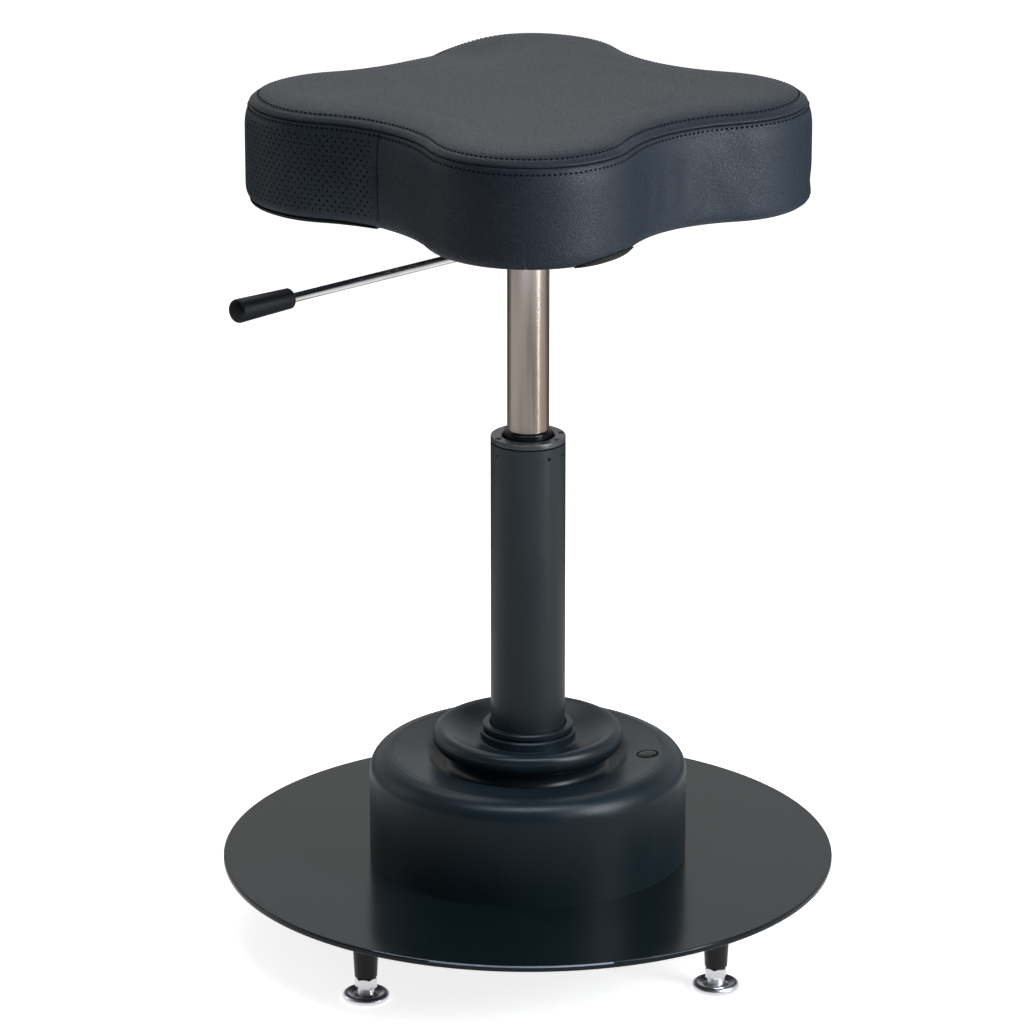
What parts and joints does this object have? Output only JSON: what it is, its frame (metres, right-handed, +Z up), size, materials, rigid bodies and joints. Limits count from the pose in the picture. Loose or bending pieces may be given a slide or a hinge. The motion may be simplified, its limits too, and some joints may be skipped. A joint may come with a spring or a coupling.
{
  "type": "technician stool",
  "caption": "Tilting technician stool with an upholstered clover seat on a gas lift, a release lever, a drum base with rubber bellows and levelling feet.",
  "frame": {"origin": "on the floor, on the axis of the column", "axes": "+Z up along the column, +Y to the back, the lever stands out between -X and -Y"},
  "size_m": [0.4129, 0.413, 0.5927],
  "materials": {
    "base_paint": "satin black powder coat",
    "foot_sleeve_black": "black coated turned steel",
    "foot_chrome": "polished pressed steel",
    "zinc": "bright zinc plating",
    "drum_plastic": "fine-textured black moulding",
    "boot_rubber": "satin black rubber",
    "inner_rubber": "plain moulded rubber",
    "bracket_paint": "black powder coat",
    "cast_fork": "as-cast iron with machined faces",
    "bearing_steel": "ground steel",
    "bronze": "sintered bronze",
    "nylon": "natural nylon",
    "column_paint": "satin black paint on drawn tube",
    "bush_plastic": "black moulded bush",
    "lever_chrome": "polished chrome plating",
    "rod_chrome": "hard chrome",
    "cylinder_steel": "satin drawn steel, warm grey",
    "piston_alloy": "turned aluminium",
    "grip_plastic": "satin black moulding",
    "foam": "open-cell foam",
    "plywood": "birch plywood",
    "vinyl": "fine-grained charcoal vinyl with stitched seams",
    "vinyl_perforated": "perforated charcoal vinyl",
    "dust_cloth": "black non-woven cloth"
  },
  "bodies": {
    "base": {"base_disc": "base_paint", "foot_sleeves": "foot_sleeve_black", "drum_housing": "drum_plastic", "vent_plug": "boot_rubber", "housing_screws": "zinc", "bellows_boot": "boot_rubber", "boot_ring": "bracket_paint", "ring_screws": "zinc", "pivot_yoke": "cast_fork", "yoke_bolts": "zinc", "yoke_nuts": "zinc", "yoke_bushes": "bronze", "centering_buffer": "inner_rubber"},
    "cross": {"pivot_cross": "bearing_steel"},
    "column": {"column_hub": "cast_fork", "hub_screws": "zinc", "hub_bushes": "bronze", "column_tube": "column_paint", "guide_bush": "bush_plastic", "end_plate": "bearing_steel", "race_lower": "bearing_steel"},
    "swivel": {"piston_rod": "rod_chrome", "rod_clip": "bearing_steel", "piston": "piston_alloy", "piston_seal": "inner_rubber", "race_upper": "bearing_steel", "bump_stop": "inner_rubber", "ball_cage": "nylon", "bearing_balls": "bearing_steel"},
    "seat": {"gas_cylinder": "cylinder_steel", "rod_guide": "nylon", "taper_tube": "bracket_paint", "bracket_box": "bracket_paint", "seat_plate": "bracket_paint", "plate_bolts": "zinc", "plate_washers": "zinc", "tee_nuts": "zinc", "seat_board": "plywood", "dust_cover": "dust_cloth", "foam_cushion": "foam", "top_panel": "vinyl", "side_band": "vinyl", "vent_panel": "vinyl_perforated", "lever_pin": "zinc"},
    "lever": {"lever_cam": "bracket_paint", "lever_rod": "lever_chrome", "lever_grip": "grip_plastic"},
    "valve": {"release_pin": "bearing_steel"},
    "pad_1": {"foot_pad_1": "foot_chrome"},
    "screw_1": {"foot_screw_1": "zinc"},
    "pad_2": {"foot_pad_2": "foot_chrome"},
    "screw_2": {"foot_screw_2": "zinc"},
    "pad_3": {"foot_pad_3": "foot_chrome"},
    "screw_3": {"foot_screw_3": "zinc"},
    "pad_4": {"foot_pad_4": "foot_chrome"},
    "screw_4": {"foot_screw_4": "zinc"}
  },
  "joints": [
    {"name": "tilt_x", "type": "hinge", "parent": "base", "child": "cross", "pos_m": [0, 0, 0.087], "axis": [1, 0, 0], "range_deg": [-5, 5], "stiffness_Nm_per_rad": 600, "deforming": ["bellows_boot", "centering_buffer"]},
    {"name": "tilt_y", "type": "hinge", "parent": "cross", "child": "column", "pos_m": [0, 0, 0.087], "axis": [0, 1, 0], "range_deg": [-5, 5], "stiffness_Nm_per_rad": 600, "deforming": ["bellows_boot", "centering_buffer"]},
    {"name": "swivel", "type": "hinge", "parent": "column", "child": "swivel", "pos_m": [0, 0, 0.13], "axis": [0, 0, 1], "continuous": true},
    {"name": "lift", "type": "slide", "parent": "swivel", "child": "seat", "axis": [0, 0, 1], "range_m": [-0.105, 0.035]},
    {"name": "lever", "type": "hinge", "parent": "seat", "child": "lever", "pos_m": [-0.02546, -0.02546, 0.497], "axis": [-0.7071, 0.7071, 0], "range_deg": [0, 7], "stiffness_Nm_per_rad": 6, "springref_deg": -5.73},
    {"name": "valve", "type": "slide", "parent": "seat", "child": "valve", "axis": [0, 0, -1], "range_m": [0, 0.0045]},
    {"name": "foot_1_height", "type": "slide", "parent": "base", "child": "pad_1", "axis": [0, 0, -1], "range_m": [0, 0.0121]},
    {"name": "foot_1_turn", "type": "hinge", "parent": "pad_1", "child": "screw_1", "pos_m": [0.10727, 0.12471, 0.0118], "axis": [0, 0, -1], "range_deg": [0, 3456]},
    {"name": "foot_2_height", "type": "slide", "parent": "base", "child": "pad_2", "axis": [0, 0, -1], "range_m": [0, 0.0121]},
    {"name": "foot_2_turn", "type": "hinge", "parent": "pad_2", "child": "screw_2", "pos_m": [-0.12471, 0.10727, 0.0118], "axis": [0, 0, -1], "range_deg": [0, 3456]},
    {"name": "foot_3_height", "type": "slide", "parent": "base", "child": "pad_3", "axis": [0, 0, -1], "range_m": [0, 0.0121]},
    {"name": "foot_3_turn", "type": "hinge", "parent": "pad_3", "child": "screw_3", "pos_m": [-0.10727, -0.12471, 0.0118], "axis": [0, 0, -1], "range_deg": [0, 3456]},
    {"name": "foot_4_height", "type": "slide", "parent": "base", "child": "pad_4", "axis": [0, 0, -1], "range_m": [0, 0.0121]},
    {"name": "foot_4_turn", "type": "hinge", "parent": "pad_4", "child": "screw_4", "pos_m": [0.12471, -0.10727, 0.0118], "axis": [0, 0, -1], "range_deg": [0, 3456]}
  ],
  "couplings": [
    {"joint": "valve", "follows": "lever", "m_per_rad": 0.0365},
    {"joint": "foot_1_height", "follows": "foot_1_turn", "m_per_rad": 0.00019894},
    {"joint": "foot_2_height", "follows": "foot_2_turn", "m_per_rad": 0.00019894},
    {"joint": "foot_3_height", "follows": "foot_3_turn", "m_per_rad": 0.00019894},
    {"joint": "foot_4_height", "follows": "foot_4_turn", "m_per_rad": 0.00019894}
  ]
}
